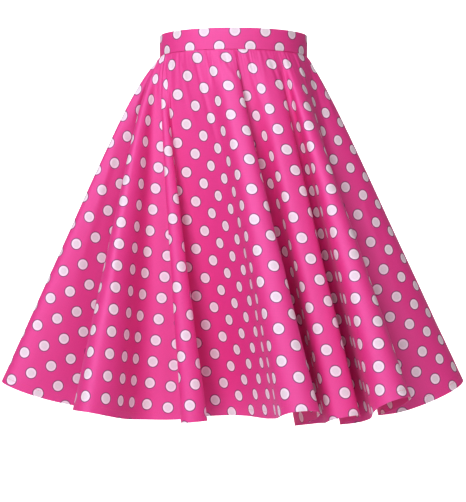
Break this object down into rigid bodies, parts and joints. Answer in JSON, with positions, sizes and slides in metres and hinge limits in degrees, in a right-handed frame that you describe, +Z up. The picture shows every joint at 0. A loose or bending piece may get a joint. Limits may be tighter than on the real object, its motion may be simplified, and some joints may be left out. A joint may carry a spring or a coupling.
{
  "type": "pleated midi skirt",
  "caption": "Full circle skirt to the knee in its hollow worn shape, with a plain waistband, deep loose folds and a concealed back zip whose pull swings.",
  "frame": {"origin": "middle of the waist opening, halfway up the waistband, where the wearer holds the skirt", "axes": "+Z up, -Y to the front of the skirt, +X to the right as seen from the front"},
  "size_m": [0.761, 0.5439, 0.6292],
  "materials": {
    "pink_cotton": "matte woven cotton with white dots",
    "zip_tape": "matte woven tape",
    "zip_metal": "satin enamel"
  },
  "bodies": {
    "skirt": {"waistband": "pink_cotton", "front_panel": "pink_cotton", "back_panel_right": "pink_cotton", "back_panel_left": "pink_cotton", "zip_tape": "zip_tape", "zip_slider": "zip_metal"},
    "pull": {"zip_pull": "zip_metal"}
  },
  "joints": [
    {"name": "zip_pull_swing", "type": "hinge", "parent": "skirt", "child": "pull", "pos_m": [0, 0.0907, 0.0115], "axis": [1, 0, 0], "range_deg": [0, 150]}
  ]
}
